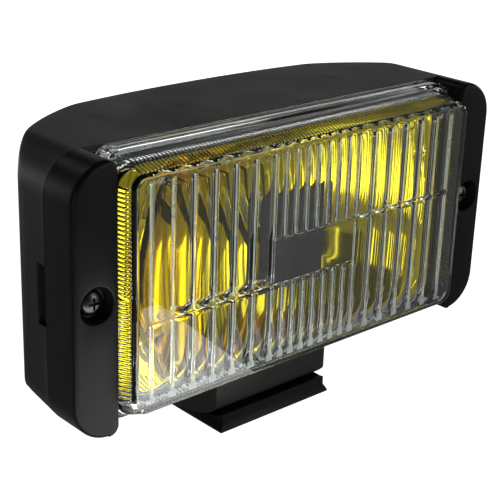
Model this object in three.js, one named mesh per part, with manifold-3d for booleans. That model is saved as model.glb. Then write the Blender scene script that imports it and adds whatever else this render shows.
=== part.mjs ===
// Rectangular halogen fog lamp on a tilting saddle foot.
// Millimetres. +X is right as seen from the front, -Y is the way the light goes, +Z is up.
// The origin is the centre of the foot's flat underside.
// The lamp's own pieces are drawn about the middle of the end caps' front plane, then moved into place.
import * as THREE from "three";
import { mergeVertices } from "three/addons/utils/BufferGeometryUtils.js";
import Module from "manifold-3d";

// ---- Driving dimensions -------------------------------------------------
const GAP = 0.3; // clearance between neighbouring pieces
const HALF_WIDTH = 93.5; // body, over the end caps
const HALF_HEIGHT = 44; // top of the body, above the lamp's middle
const BOTTOM = -45.5; // underside of the body and of the glass rim
const CORNER = 13; // corner radius of the body seen from the front
const WALL = 2.5; // moulded wall
const CAP_DEPTH = 14.8; // end cap, front to back
const CAP_INNER = 77.5; // inner edge of an end cap, from the middle
const CAP_CORNER = 3.5; // radius of the cap's inner corners
const BODY_START = CAP_DEPTH + GAP; // front edge of the rear housing
const SIDE_END = 28.5; // where the housing's sides start to turn in
const SHOULDER_X = 54; // where the turned-in corners meet the bowed back
const SHOULDER_Y = 58.3;
const REAR = 61.7; // back of the housing at the middle
const BOTTOM_RISE = 0.2; // slope of the housing's underside towards the back

const LENS_HALF_WIDTH = 80;
const LENS_HALF_HEIGHT = 44;
const LENS_CORNER = 10;
const LENS_FACE = -5.2; // the glass face stands this far ahead of the caps
const LENS_WALL = 6; // rim thickness
const FACE_THICK = 3.5;

const REFLECTOR_HALF_WIDTH = 72.2;
const REFLECTOR_HALF_HEIGHT = 36.2;
const REFLECTOR_CORNER = 7;
const REFLECTOR_FRONT = 8;
const REFLECTOR_VERTEX = 43;
const FOCAL = 30;
const SHEET = 1.2; // reflector sheet
const RIM_Y = 16.9; // front of the reflector's flat rim
const RIM_THICK = 1;
const RIM_HALF_WIDTH = 77;
const LEG_X = 11.5; // shield legs, from the middle

const TILT_Y = 29; // tilt axis, behind the cap front
const TILT_Z = -44; // and just above the housing's underside
const TILT_HEIGHT = 24; // tilt axis above the foot's underside
const BOSS_RADIUS = 22;
const BOSS_HALF_WIDTH = 26.4;
const BOSS_HALF_DEPTH = 16;
const BOSS_WALL = 3;

const FOOT_HALF_WIDTH = 26.4;
const FOOT_HALF_DEPTH = 18.7;
const FOOT_TOP_HALF_WIDTH = 24.9;
const FOOT_TOP_HALF_DEPTH = 17.5;
const FOOT_EDGE_HEIGHT = 6.3;
const SADDLE_HALF_DEPTH = 10.2; // the part of the foot that the boss rests on
const BOLT_HOLE = 4.3; // radius, for an M8 bolt
const SPIGOT = 5.5; // radius of the foot's hollow spigot
const SPIGOT_TOP = 7.1;
const NUT_FLOOR = 7.6; // underside of the clamp nut, above the foot's underside
const NUT_HALF = 6.5;
const NUT_HEIGHT = 6.5;

const SCREW_X = 85.2; // end cap screws, from the middle
const SCREW_SHANK = 2; // radius
const SCREW_HOLE = SCREW_SHANK + GAP;
const RECESS = 6; // radius of the dished screw recess
const RECESS_DEPTH = 4.2;

const REAR_HOLES_Z = -22; // grommet and breather holes, from the lamp's middle
const BREATHER_X = 30;
const GROMMET_NECK = 5.9;
const BREATHER_NECK = 2.7;

// The plane just behind the reflector, where the bulb's flange and its fittings sit.
const BULB_SEAT = REFLECTOR_VERTEX + SHEET + GAP;
const FLANGE_THICK = 0.9;
const WIRE = 0.6; // radius of the bail's wire
const BAIL_PIVOT_X = -17;
const BAIL_PIVOT_Y = BULB_SEAT + 2.6;
const BAIL_SPAN = 7.8; // half the bail's height

const LEAD = 1.1; // radius
const BLADE_Y = 52;
const BLADE_TOP = -18.5; // where a lead meets its blade
const FEED_X = -32.2;
const EARTH_X = -23.8;
const TAB_Z = -13.2; // earth tab's blade

const FAR = 120; // beyond every piece, for cutting boxes

const wasm = await Module();
wasm.setup();

// ---- Solids -------------------------------------------------------------
function solid(geometry) {
  const bare = geometry.clone();
  bare.deleteAttribute("normal");
  bare.deleteAttribute("uv");
  const merged = mergeVertices(bare, 1e-4);
  const corners = merged.index.array;
  const kept = [];
  for (let i = 0; i < corners.length; i += 3) {
    const [a, b, c] = corners.slice(i, i + 3);
    if (a !== b && b !== c && c !== a) kept.push(a, b, c);
  }
  return new wasm.Manifold(
    new wasm.Mesh({
      numProp: 3,
      vertProperties: new Float32Array(merged.attributes.position.array),
      triVerts: new Uint32Array(kept),
    }),
  );
}

function bufferGeometry(positions, index) {
  const geometry = new THREE.BufferGeometry();
  geometry.setAttribute("position", new THREE.BufferAttribute(positions, 3));
  geometry.setIndex(index);
  return geometry;
}

function geometryOf(manifold) {
  const { vertProperties, triVerts } = manifold.getMesh();
  return bufferGeometry(vertProperties, new THREE.BufferAttribute(triVerts, 1));
}

const join = (first, ...rest) => rest.reduce((sum, piece) => sum.add(piece), first);
const cut = (first, ...rest) => rest.reduce((sum, piece) => sum.subtract(piece), first);
const bothSides = (make) => [-1, 1].map(make);

function extruded(shape, depth, curveSegments = 6) {
  return new THREE.ExtrudeGeometry(shape, { depth, bevelEnabled: false, curveSegments });
}

// An outline in X and Z, run along Y from y0 to y1.
function alongY(shape, y0, y1, curveSegments) {
  const geometry = extruded(shape, y1 - y0, curveSegments);
  return solid(geometry.rotateX(Math.PI / 2).translate(0, y1, 0));
}

// An outline in X and Y, run up from z0 to z1.
function alongZ(shape, z0, z1, curveSegments) {
  return solid(extruded(shape, z1 - z0, curveSegments).translate(0, 0, z0));
}

// An outline in Y and Z, run across from x0 to x1.
function alongX(shape, x0, x1, curveSegments) {
  const turn = new THREE.Matrix4().makeBasis(
    new THREE.Vector3(0, 1, 0),
    new THREE.Vector3(0, 0, 1),
    new THREE.Vector3(1, 0, 0),
  );
  const geometry = extruded(shape, x1 - x0, curveSegments);
  return solid(geometry.applyMatrix4(turn).translate(x0, 0, 0));
}

function box(x0, x1, y0, y1, z0, z1) {
  const geometry = new THREE.BoxGeometry(x1 - x0, y1 - y0, z1 - z0);
  return solid(geometry.translate((x0 + x1) / 2, (y0 + y1) / 2, (z0 + z1) / 2));
}

// A turned piece whose axis is Y: the profile lists [radius, y].
function turnedY(profile, x = 0, z = 0, segments = 24) {
  const points = profile.map(([radius, y]) => new THREE.Vector2(radius, y));
  return solid(new THREE.LatheGeometry(points, segments).translate(x, 0, z));
}

// A turned piece whose axis is Z: the profile lists [radius, z].
function turnedZ(profile, segments = 24) {
  const points = profile.map(([radius, z]) => new THREE.Vector2(radius, z));
  return solid(new THREE.LatheGeometry(points, segments).rotateX(Math.PI / 2));
}

// A round bar from y0 to y1.
function rod(radius, y0, y1, x = 0, z = 0, segments = 24) {
  return turnedY([[0, y0], [radius, y0], [radius, y1], [0, y1]], x, z, segments);
}

// A round bar from z0 to z1.
function post(radius, z0, z1, segments = 24) {
  return turnedZ([[0, z0], [radius, z0], [radius, z1], [0, z1]], segments);
}

// A wire or lead of round section along a smooth curve through the points.
function tube(points, radius, steps, sides = 8) {
  const curve = new THREE.CatmullRomCurve3(points.map((p) => new THREE.Vector3(...p)));
  const section = new THREE.Shape(
    Array.from({ length: sides }, (_, i) => {
      const angle = (2 * Math.PI * i) / sides;
      return new THREE.Vector2(radius * Math.cos(angle), radius * Math.sin(angle));
    }),
  );
  return solid(new THREE.ExtrudeGeometry(section, { steps, extrudePath: curve }));
}

// A rectangle with round corners in X and Z, between the two heights.
function roundedOutline(halfWidth, bottom, top, radius) {
  const shape = new THREE.Shape();
  shape.moveTo(-halfWidth + radius, bottom);
  shape.lineTo(halfWidth - radius, bottom);
  shape.absarc(halfWidth - radius, bottom + radius, radius, -Math.PI / 2, 0);
  shape.lineTo(halfWidth, top - radius);
  shape.absarc(halfWidth - radius, top - radius, radius, 0, Math.PI / 2);
  shape.lineTo(-halfWidth + radius, top);
  shape.absarc(-halfWidth + radius, top - radius, radius, Math.PI / 2, Math.PI);
  shape.lineTo(-halfWidth, bottom + radius);
  shape.absarc(-halfWidth + radius, bottom + radius, radius, Math.PI, 1.5 * Math.PI);
  return shape;
}

// The same rectangle, centred on the lamp's middle.
const centredOutline = (halfWidth, halfHeight, radius) =>
  roundedOutline(halfWidth, -halfHeight, halfHeight, radius);

// A rounded rectangle as a ring of points at one depth, for a loft.
function roundedRing(halfWidth, bottom, top, radius, y) {
  const cornerSteps = 6;
  const centres = [
    [halfWidth - radius, bottom + radius, -Math.PI / 2],
    [halfWidth - radius, top - radius, 0],
    [-halfWidth + radius, top - radius, Math.PI / 2],
    [-halfWidth + radius, bottom + radius, Math.PI],
  ];
  return centres.flatMap(([x, z, start]) =>
    Array.from({ length: cornerSteps + 1 }, (_, i) => {
      const angle = start + (i / cornerSteps) * (Math.PI / 2);
      return [x + radius * Math.cos(angle), y, z + radius * Math.sin(angle)];
    }),
  );
}

function middleOf(ring) {
  const sum = ring.reduce((s, p) => [s[0] + p[0], s[1] + p[1], s[2] + p[2]], [0, 0, 0]);
  return sum.map((value) => value / ring.length);
}

// A closed skin over rings of equal length, each ring behind the one before it.
// The rings run anticlockwise as seen from the front.
function loft(rings) {
  const count = rings[0].length;
  const last = (rings.length - 1) * count;
  const front = rings.length * count;
  const back = front + 1;
  const positions = [
    ...rings.flat(2), ...middleOf(rings[0]), ...middleOf(rings[rings.length - 1]),
  ];
  const index = [];
  for (let i = 0; i < count; i += 1) {
    const next = (i + 1) % count;
    for (let start = 0; start < last; start += count) {
      const a = start + i;
      const b = start + next;
      index.push(a, a + count, b, b, a + count, b + count);
    }
    index.push(front, i, next, back, last + next, last + i);
  }
  return solid(bufferGeometry(new Float32Array(positions), index));
}

// ---- Housing and end caps -------------------------------------------------
const underside = (y) => BOTTOM + BOTTOM_RISE * Math.max(0, y - BODY_START);

// Body section at one depth, drawn in by the inset.
function bodyRing(y, inset) {
  const bottom = underside(y) + inset;
  return roundedRing(HALF_WIDTH - inset, bottom, HALF_HEIGHT - inset, CORNER - inset, y);
}

// The body seen from above: straight sides, turned-in corners and a bowed back.
function planOutline(inset, front) {
  const side = HALF_WIDTH - inset;
  const turn = SIDE_END - inset * 0.4;
  const bendX = 80 - inset * 0.8;
  const bendY = 48 - inset * 0.8;
  const shoulderX = SHOULDER_X - inset * 0.6;
  const shoulderY = SHOULDER_Y - inset;
  const rear = REAR - inset;
  const bowX = 30;
  const shape = new THREE.Shape();
  shape.moveTo(-side, front);
  shape.lineTo(side, front);
  shape.lineTo(side, turn);
  shape.quadraticCurveTo(bendX, bendY, shoulderX, shoulderY);
  shape.quadraticCurveTo(bowX, rear, 0, rear);
  shape.quadraticCurveTo(-bowX, rear, -shoulderX, shoulderY);
  shape.quadraticCurveTo(-bendX, bendY, -side, turn);
  return shape;
}

function bodySolid(inset, front) {
  const skin = loft([front, BODY_START, REAR + 3].map((y) => bodyRing(y, inset)));
  return skin.intersect(alongZ(planOutline(inset, front + 0.001), -60, 60, 8));
}

// Section of the boss, round underneath about the tilt axis.
// The top lists its [y, z] corners from back to front.
function bossOutline(radius, halfDepth, top) {
  const drop = Math.sqrt(radius ** 2 - halfDepth ** 2);
  const reach = Math.atan2(halfDepth, drop);
  const shape = new THREE.Shape();
  shape.moveTo(TILT_Y - halfDepth, TILT_Z - drop);
  shape.absarc(TILT_Y, TILT_Z, radius, -Math.PI / 2 - reach, -Math.PI / 2 + reach);
  top.forEach(([y, z]) => shape.lineTo(y, z));
  return shape;
}

// The boss reaches forward under the glass rim, just below it.
function boss() {
  const front = TILT_Y - BOSS_HALF_DEPTH;
  const back = TILT_Y + BOSS_HALF_DEPTH;
  const overlap = 1.2;
  const clearance = 0.4;
  const outline = bossOutline(BOSS_RADIUS, BOSS_HALF_DEPTH, [
    [back, underside(back) + overlap],
    [BODY_START, BOTTOM + overlap],
    [BODY_START, BOTTOM - clearance],
    [front, BOTTOM - clearance],
  ]);
  return alongX(outline, -BOSS_HALF_WIDTH, BOSS_HALF_WIDTH, 10);
}

// Hollows in the boss, open to the inside of the housing, with two ribs between them.
function bossPockets() {
  const half = BOSS_HALF_DEPTH - BOSS_WALL;
  const top = TILT_Z + 8;
  const outline = bossOutline(BOSS_RADIUS - BOSS_WALL, half, [
    [TILT_Y + half, top],
    [TILT_Y - half, top],
  ]);
  const ribX = 10.6;
  const ribHalf = 1;
  const outer = BOSS_HALF_WIDTH - BOSS_WALL;
  const spans = [[-outer, -ribX - ribHalf], [-ribX + ribHalf, ribX - ribHalf], [ribX + ribHalf, outer]];
  return spans.map(([x0, x1]) => alongX(outline, x0, x1, 10));
}

// Slot in the boss's floor that the foot's spigot runs in.
function tiltSlot() {
  const halfWidth = SPIGOT + GAP;
  const halfLength = 12.6;
  const floor = TILT_Z - BOSS_RADIUS;
  return box(-halfWidth, halfWidth, TILT_Y - halfLength, TILT_Y + halfLength, floor - 6, floor + 8);
}

// Inner ledge that the reflector's rim rests against.
function carrierPlate() {
  const front = 18.3;
  const slab = box(-FAR, FAR, front, front + 2, -FAR, FAR);
  return cut(
    bodySolid(1, BODY_START).intersect(slab),
    alongY(centredOutline(74.4, 38.4, 6), front - 1, front + 3),
  );
}

function rearHousing() {
  const shell = cut(bodySolid(0, BODY_START), bodySolid(WALL, BODY_START - 4));
  const screwPosts = bothSides((side) => rod(4.6, 14.9, 30, side * SCREW_X, 0, 16));
  const screwHoles = bothSides((side) => rod(SCREW_HOLE, 10, 27, side * SCREW_X, 0, 12));
  const notchDepth = 1.7;
  const sideNotches = bothSides((side) => {
    const x = side * HALF_WIDTH;
    return box(x - notchDepth, x + notchDepth, BODY_START - 1, 19.3, -10, 10);
  });
  const rearHoles = [
    rod(GROMMET_NECK + 0.4, 50, 70, 0, REAR_HOLES_Z, 16),
    rod(BREATHER_NECK + 0.4, 50, 70, BREATHER_X, REAR_HOLES_Z, 12),
  ];
  return cut(
    join(shell, boss(), carrierPlate(), ...screwPosts),
    ...bossPockets(), tiltSlot(), ...screwHoles, ...sideNotches, ...rearHoles,
  );
}

// Cap over one end of the body, hollow behind and hooked over the glass rim.
function endCap(side) {
  const behind = CAP_DEPTH + 1;
  const screwAt = side * SCREW_X;
  const frontEdge = [[0, 1.6], [0.5, 0.5], [1.6, 0], [CAP_DEPTH, 0]];
  const outer = loft(frontEdge.map(([y, inset]) => bodyRing(y, inset)));
  const hollow = alongY(
    roundedOutline(HALF_WIDTH - WALL, BOTTOM + WALL, HALF_HEIGHT - WALL, CORNER - WALL), WALL, behind,
  );
  const glass = alongY(
    roundedOutline(LENS_HALF_WIDTH + GAP, BOTTOM - GAP, LENS_HALF_HEIGHT + GAP, LENS_CORNER),
    WALL, behind,
  );
  const column = rod(8, 1, CAP_DEPTH - 1.5, screwAt, 0, 24);
  const dish = turnedY(
    [[0, -1], [RECESS, -1], [RECESS, 1.6], [4.9, RECESS_DEPTH], [0, RECESS_DEPTH]],
    screwAt, 0, 28,
  );
  const hole = rod(SCREW_HOLE, 2, behind, screwAt, 0, 12);
  const reach = (FAR - CAP_INNER) / 2;
  const end = alongY(roundedOutline(reach, BOTTOM, HALF_HEIGHT, CAP_CORNER), -1, behind)
    .translate([side * (CAP_INNER + reach), 0, 0]);
  return cut(join(cut(outer, hollow), column).intersect(end), glass, dish, hole);
}

// Pan head screw with a cross recess.
function capScrew(side) {
  const x = side * SCREW_X;
  const underHead = RECESS_DEPTH - GAP;
  const tip = 26;
  const head = [[0, 1.7], [2.2, 1.8], [3.6, 2.5], [4.1, 3.4], [4.1, underHead]];
  const shank = [[SCREW_SHANK, underHead], [SCREW_SHANK, tip - 2], [0.6, tip], [0, tip]];
  const arm = 2.3;
  const half = 0.5;
  const bottom = 2.9;
  return cut(
    turnedY([...head, ...shank], x, 0, 20),
    box(x - arm, x + arm, 1, bottom, -half, half),
    box(x - half, x + half, 1, bottom, -arm, arm),
  );
}

// ---- Glass and seal -------------------------------------------------------
// The skirt slopes down further below the face than it rises above it.
function lensRing(y, inset) {
  const corner = Math.max(LENS_CORNER - inset * 0.7, 2);
  const halfHeight = LENS_HALF_HEIGHT - inset;
  const slope = Math.min(1, Math.max(0, (y + 4.5) / 12));
  const lowered = slope * (-BOTTOM - LENS_HALF_HEIGHT);
  return roundedRing(LENS_HALF_WIDTH - inset, -halfHeight - lowered, halfHeight, corner, y);
}

// Each profile lists [y, inset] from front to back.
function lens() {
  const rim = [
    [LENS_FACE, 6.1], [LENS_FACE + 0.7, 5.3], // edge of the face
    [4.8, 2.3], [6.8, 1.5], [7.8, 0.3], [12, 0], // sloping skirt and the band behind it
    [12.2, 0.9], [13.2, 0.9], [13.4, 0], [CAP_DEPTH, 0], // groove and back edge
  ];
  const hollow = [[LENS_FACE + FACE_THICK, 9], [3, LENS_WALL], [CAP_DEPTH + 1, LENS_WALL]];
  const [outer, inner] = [rim, hollow].map((profile) =>
    loft(profile.map(([y, inset]) => lensRing(y, inset))),
  );
  return cut(outer, inner);
}

function lensGasket() {
  return cut(
    alongY(centredOutline(77, 40.6, 8), BODY_START, BODY_START + 1.5),
    alongY(centredOutline(74.6, 38.6, 6), BODY_START - 1, BODY_START + 3),
  );
}

// ---- Reflector and what it carries ----------------------------------------
// Everything inside a parabolic bowl with its vertex at the given depth.
function bowl(vertex) {
  const rings = 8;
  const front = REFLECTOR_FRONT - 2;
  const reach = Math.sqrt(4 * FOCAL * (vertex - front));
  const profile = Array.from({ length: rings + 1 }, (_, i) => {
    const radius = (reach * (rings - i)) / rings;
    return [radius, vertex - radius ** 2 / (4 * FOCAL)];
  });
  return turnedY([[0, front], ...profile], 0, 0, 40);
}

function reflector() {
  const mouth = (grow) => {
    const halfWidth = REFLECTOR_HALF_WIDTH + grow;
    return centredOutline(halfWidth, REFLECTOR_HALF_HEIGHT + grow, REFLECTOR_CORNER + grow);
  };
  const flat = rod(14, REFLECTOR_VERTEX - 4, REFLECTOR_VERTEX + SHEET, 0, 0, 32);
  const back = alongY(mouth(SHEET), REFLECTOR_FRONT, REAR).intersect(bowl(BULB_SEAT - GAP));
  const inside = alongY(mouth(0), REFLECTOR_FRONT - 1, REAR).intersect(bowl(REFLECTOR_VERTEX));
  const rim = cut(
    alongY(centredOutline(RIM_HALF_WIDTH, 40.4, 9), RIM_Y, RIM_Y + RIM_THICK),
    alongY(mouth(SHEET / 2), RIM_Y - 1, RIM_Y + RIM_THICK + 1),
  );
  const bulbHole = rod(6.6, 30, REAR);
  const legHoles = bothSides((side) => rod(1.3, 30, REAR, side * LEG_X, 0, 10));
  return cut(join(cut(join(back, flat), inside), rim), bulbHole, ...legHoles);
}

// Blackened plate that hides the bulb, on two legs that reach back to the reflector.
function bulbShield() {
  const half = 17;
  const sheet = 1;
  const front = 9.5;
  const legHalf = 2.5;
  const pin = 0.8;
  const legEnd = REFLECTOR_VERTEX - 1.8;
  const plate = alongY(centredOutline(half, half, 3), front, front + sheet);
  const legs = bothSides((side) => {
    const x = side * LEG_X;
    return join(
      box(x - 3, x + 3, front + 0.5, front + 0.5 + sheet, -legHalf, legHalf),
      box(x - sheet / 2, x + sheet / 2, front + 0.5, legEnd, -legHalf, legHalf),
      box(x - pin, x + pin, legEnd - 1, REFLECTOR_VERTEX - 0.4, -pin, pin),
    );
  });
  return join(plate, ...legs);
}

// Rivet that closes a shield leg behind the reflector.
function shieldRivet(side) {
  const neck = 0.95;
  const head = 2;
  const front = REFLECTOR_VERTEX - 0.1;
  return turnedY(
    [
      [0, front], [neck, front], [neck, BULB_SEAT], [head, BULB_SEAT],
      [head - 0.4, BULB_SEAT + 0.9], [0, BULB_SEAT + 1.1],
    ],
    side * LEG_X, 0, 12,
  );
}

// Hollow envelope, open at the pinch where the base grips it.
function bulbEnvelope() {
  const tip = 18;
  const radius = 5.4;
  const bore = 4.7;
  const end = BULB_SEAT - 0.6;
  const outside = [[0, tip], [2.4, tip + 0.5], [4.6, tip + 2.4], [radius, tip + 5], [radius, end]];
  const inside = [[bore, end], [bore, tip + 5], [3.9, tip + 2.9], [1.9, tip + 1.3], [0, tip + 0.9]];
  return turnedY([...outside, ...inside], 0, 0, 20);
}

// Coiled filament with its two support wires.
function bulbFilament() {
  const y = 26;
  const turns = 5;
  const stepsPerTurn = 8;
  const steps = turns * stepsPerTurn;
  const halfLength = 2.4;
  const coilRadius = 0.8;
  const supportX = 2.7;
  const coilPoints = Array.from({ length: steps + 1 }, (_, i) => {
    const angle = (i / stepsPerTurn) * 2 * Math.PI;
    const x = -halfLength + (2 * halfLength * i) / steps;
    return [x, y + coilRadius * Math.cos(angle), coilRadius * Math.sin(angle)];
  });
  const supports = bothSides((side) => {
    const route = [
      [side * halfLength, y + 0.6, 0],
      [side * supportX, y + 4, 0],
      [side * supportX, BULB_SEAT - 1.2, 0],
    ];
    return tube(route, 0.35, 6, 6);
  });
  return join(tube(coilPoints, 0.22, turns * 10, 6), ...supports);
}

// Metal base: locating flange with a key tab, and the ceramic body behind it.
function bulbBase() {
  const flange = 9.4;
  const body = 6.4;
  const flangeBack = BULB_SEAT + FLANGE_THICK;
  const bodyBack = BULB_SEAT + 5;
  const turned = turnedY(
    [
      [0, BULB_SEAT], [flange, BULB_SEAT], [flange, flangeBack], [body, flangeBack],
      [body, bodyBack - 0.8], [body - 0.8, bodyBack], [0, bodyBack],
    ],
    0, 0, 28,
  );
  const collar = rod(4.1, BULB_SEAT - GAP, BULB_SEAT + 0.5, 0, 0, 20);
  const key = box(-1.6, 1.6, BULB_SEAT, flangeBack, flange - 0.8, flange + 1.2);
  return join(turned, collar, key);
}

// Wire bail that holds the bulb's flange down; it hinges about the vertical rod.
function bulbBail() {
  const rest = BULB_SEAT + FLANGE_THICK + GAP + WIRE;
  const free = 16; // reach of the free end, from the middle
  const half = [
    [BAIL_PIVOT_X, BAIL_PIVOT_Y, BAIL_SPAN + 0.4],
    [BAIL_PIVOT_X + 2.5, BAIL_PIVOT_Y - 0.2, BAIL_SPAN],
    [BAIL_PIVOT_X + 6, rest, BAIL_SPAN],
    [0, rest, BAIL_SPAN],
    [free - 3.5, rest, BAIL_SPAN],
    [free - 0.4, rest, BAIL_SPAN - 3],
  ];
  const otherHalf = half.toReversed().map(([x, y, z]) => [x, y, -z]);
  const loop = tube([...half, [free, rest, 0], ...otherHalf], WIRE, 56, 8);
  const pivot = post(WIRE, -BAIL_SPAN - 0.4, BAIL_SPAN + 0.4, 8);
  return join(loop, pivot.translate([BAIL_PIVOT_X, BAIL_PIVOT_Y, 0]));
}

// Bracket whose two ears hold the bail's pivot rod.
function clipBracket() {
  const half = 2;
  const x0 = BAIL_PIVOT_X - half;
  const x1 = BAIL_PIVOT_X + half;
  const earHalf = 0.5;
  const earAt = 5;
  const ears = bothSides((side) => {
    const z = side * earAt;
    return box(x0, x1, BULB_SEAT, BAIL_PIVOT_Y + half, z - earHalf, z + earHalf);
  });
  const base = box(x0, x1, BULB_SEAT, BULB_SEAT + 0.8, -earAt - earHalf, earAt + earHalf);
  const bore = post(WIRE + 0.15, -BAIL_SPAN, BAIL_SPAN, 12);
  return cut(join(base, ...ears), bore.translate([BAIL_PIVOT_X, BAIL_PIVOT_Y, 0]));
}

// Upright strip beside the bail's free end.
function clipCatch() {
  const x0 = 17;
  const halfHeight = 3;
  return join(
    box(x0, x0 + 4, BULB_SEAT, BULB_SEAT + 0.8, -halfHeight, halfHeight),
    box(x0, x0 + 1.2, BULB_SEAT, BULB_SEAT + 3.6, -halfHeight, halfHeight),
  );
}

// ---- Leads and terminals ----------------------------------------------------
// Down into the block, to just above the blade.
const leadEnd = (x) => [[x, BLADE_Y, BLADE_TOP + 3], [x, BLADE_Y, BLADE_TOP + GAP]];

// Lead from the bulb's base to the terminal block on the back wall.
function bulbLead() {
  const start = BULB_SEAT + 5.4;
  const route = [
    [0, start, 0], [0, start + 1.3, 0],
    [-4, 54, -2], [-14, 55.5, -4], [-25, 54.5, -6], [-31, 53.3, -11],
  ];
  return tube([...route, ...leadEnd(FEED_X)], LEAD, 28, 8);
}

// Lead from the reflector's earth tab to the same block.
function earthLead() {
  const route = [[-3.5, 48.5, TAB_Z], [-6, 49, TAB_Z], [-15, 51, -11.5], [-21.5, 51.8, -12.5]];
  return tube([...route, ...leadEnd(EARTH_X)], LEAD, 20, 8);
}

// Blade that stands on the flat behind the reflector.
function earthTab() {
  const half = 3.1;
  const sheet = 0.8;
  return join(
    box(-half, half, BULB_SEAT, BULB_SEAT + sheet, TAB_Z - sheet / 2, TAB_Z + 3),
    box(-half, half, BULB_SEAT, BULB_SEAT + 7, TAB_Z - sheet / 2, TAB_Z + sheet / 2),
  );
}

function terminalBlock() {
  const [left, right] = [FEED_X - 4.6, EARTH_X + 4.6];
  const body = box(left, right, 48.2, 56, -30, -18.8);
  const keyBehind = box(left + 2.8, right - 2.8, 55, 57.8, -28, -20.5);
  const cavities = [FEED_X, EARTH_X].map((x) =>
    box(x - 2.4, x + 2.4, BLADE_Y - 1.6, BLADE_Y + 1.6, -28.5, -17),
  );
  return cut(join(body, keyBehind), ...cavities);
}

// Blade crimped on a lead's end, inside the block.
function blade(x) {
  const half = 1.8;
  const thin = 0.4;
  const flat = box(x - half, x + half, BLADE_Y - thin, BLADE_Y + thin, -27.5, BLADE_TOP - 0.9);
  const crimp = post(1.3, BLADE_TOP - 1.5, BLADE_TOP, 10);
  return join(flat, crimp.translate([x, BLADE_Y, 0]));
}

// ---- Rubber in the back wall ------------------------------------------------
// Lips inside and outside the wall, and a bore for the cable.
function cableGrommet() {
  const lip = 8;
  const rear = 63.2;
  const profile = [
    [0, 57.2], [lip, 57.2], [lip, 58.8], [GROMMET_NECK, 58.8], [GROMMET_NECK, 62], [lip, 62],
    [lip - 0.6, rear], [0, rear],
  ];
  return cut(
    turnedY(profile, 0, REAR_HOLES_Z, 24),
    rod(1.9, 50, 70, 0, REAR_HOLES_Z, 12),
  );
}

function breatherPlug() {
  const cap = 4.4;
  const profile = [
    [0, 57.3], [BREATHER_NECK, 57.3], [BREATHER_NECK, 61.4], [cap, 61.4], [cap - 0.6, 62.8], [0, 63],
  ];
  return turnedY(profile, BREATHER_X, REAR_HOLES_Z, 16);
}

// ---- Saddle foot and clamp, in the foot's own frame -------------------------
// A block with a rectangular section at each level: the levels list [halfWidth, halfDepth, z].
function stackedBlock(levels) {
  const corners = levels.flatMap(([x, y, z]) => [[-x, -y, z], [x, -y, z], [x, y, z], [-x, y, z]]);
  const index = [0, 2, 1, 0, 3, 2];
  for (let level = 0; level < levels.length - 1; level += 1) {
    for (let i = 0; i < 4; i += 1) {
      const a = level * 4 + i;
      const b = level * 4 + ((i + 1) % 4);
      index.push(a, b, b + 4, a, b + 4, a + 4);
    }
  }
  const top = (levels.length - 1) * 4;
  index.push(top, top + 1, top + 2, top, top + 2, top + 3);
  return solid(bufferGeometry(new Float32Array(corners.flat()), index));
}

// Everything above the foot: the round seat in the middle, sloping up to the front and back edges.
function aboveFoot() {
  const seat = BOSS_RADIUS + GAP;
  const drop = Math.sqrt(seat ** 2 - SADDLE_HALF_DEPTH ** 2);
  const reach = Math.atan2(SADDLE_HALF_DEPTH, drop);
  const edge = FOOT_TOP_HALF_DEPTH;
  const beyond = edge + 3;
  const shape = new THREE.Shape();
  shape.moveTo(-edge, FOOT_EDGE_HEIGHT);
  shape.lineTo(-SADDLE_HALF_DEPTH, TILT_HEIGHT - drop);
  shape.absarc(0, TILT_HEIGHT, seat, -Math.PI / 2 - reach, -Math.PI / 2 + reach);
  shape.lineTo(edge, FOOT_EDGE_HEIGHT);
  shape.lineTo(beyond, FOOT_EDGE_HEIGHT);
  shape.lineTo(beyond, TILT_HEIGHT);
  shape.lineTo(-beyond, TILT_HEIGHT);
  shape.lineTo(-beyond, FOOT_EDGE_HEIGHT);
  return alongX(shape, -FAR, FAR, 12);
}

function saddleFoot() {
  const block = stackedBlock([
    [FOOT_HALF_WIDTH, FOOT_HALF_DEPTH, 0],
    [FOOT_HALF_WIDTH - 0.3, FOOT_HALF_DEPTH - 0.3, 1],
    [FOOT_TOP_HALF_WIDTH, FOOT_TOP_HALF_DEPTH, 3],
    [FOOT_TOP_HALF_WIDTH, FOOT_TOP_HALF_DEPTH, 9],
  ]);
  const spigot = post(SPIGOT, 0.5, SPIGOT_TOP);
  return cut(join(cut(block, aboveFoot()), spigot), post(BOLT_HOLE, -1, 12));
}

// Block with a round underside that slides inside the boss and carries the nut between two ears.
function clampSaddle() {
  const radius = BOSS_RADIUS - BOSS_WALL - GAP;
  const half = NUT_HALF;
  const halfWidth = 8.8;
  const earInner = NUT_HALF + 0.5;
  const top = NUT_FLOOR - GAP;
  const drop = Math.sqrt(radius ** 2 - half ** 2);
  const reach = Math.atan2(half, drop);
  const shape = new THREE.Shape();
  shape.moveTo(-half, TILT_HEIGHT - drop);
  shape.absarc(0, TILT_HEIGHT, radius, -Math.PI / 2 - reach, -Math.PI / 2 + reach);
  shape.lineTo(half, top);
  shape.lineTo(-half, top);
  const ears = bothSides((side) => {
    const [x0, x1] = [side * earInner, side * halfWidth].sort((a, b) => a - b);
    return box(x0, x1, -half, half, top - 0.5, top + 3.7);
  });
  return cut(join(alongX(shape, -halfWidth, halfWidth, 8), ...ears), post(SPIGOT + GAP, 2, 12));
}

function clampNut() {
  const block = box(-NUT_HALF, NUT_HALF, -NUT_HALF, NUT_HALF, NUT_FLOOR, NUT_FLOOR + NUT_HEIGHT);
  return cut(block, post(4, 5, 16));
}

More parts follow.
